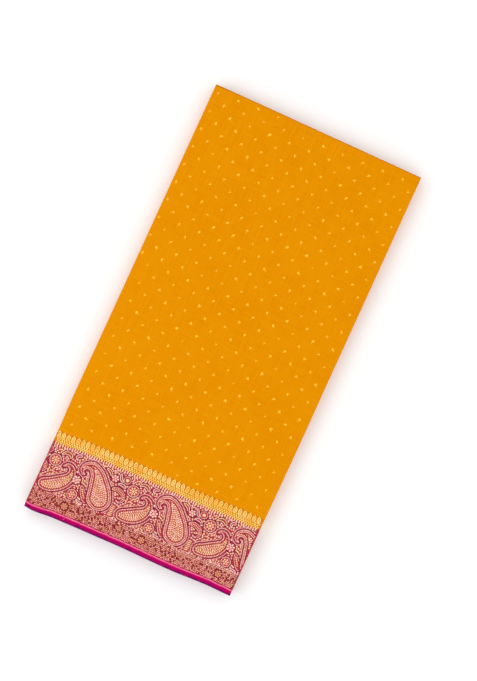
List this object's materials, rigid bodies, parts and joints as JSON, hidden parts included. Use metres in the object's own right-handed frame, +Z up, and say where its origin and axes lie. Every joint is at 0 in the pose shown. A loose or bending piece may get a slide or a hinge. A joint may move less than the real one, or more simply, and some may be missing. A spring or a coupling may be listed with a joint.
{
  "type": "folded banarasi sari",
  "caption": "Silk brocade sari folded into a long flat pile, orange with small gold motifs, and a magenta and gold paisley border across its selvedge end.",
  "frame": {"origin": "centre of the pile's bounding box, on the face that it rests on", "axes": "+Z up through the layers, +Y along the pile from the border and its selvedges to the half fold, +X across the pile"},
  "size_m": [0.2756, 0.5672, 0.0214],
  "materials": {
    "silk": "satin"
  },
  "bodies": {
    "root": {"sari": "silk"}
  },
  "joints": []
}
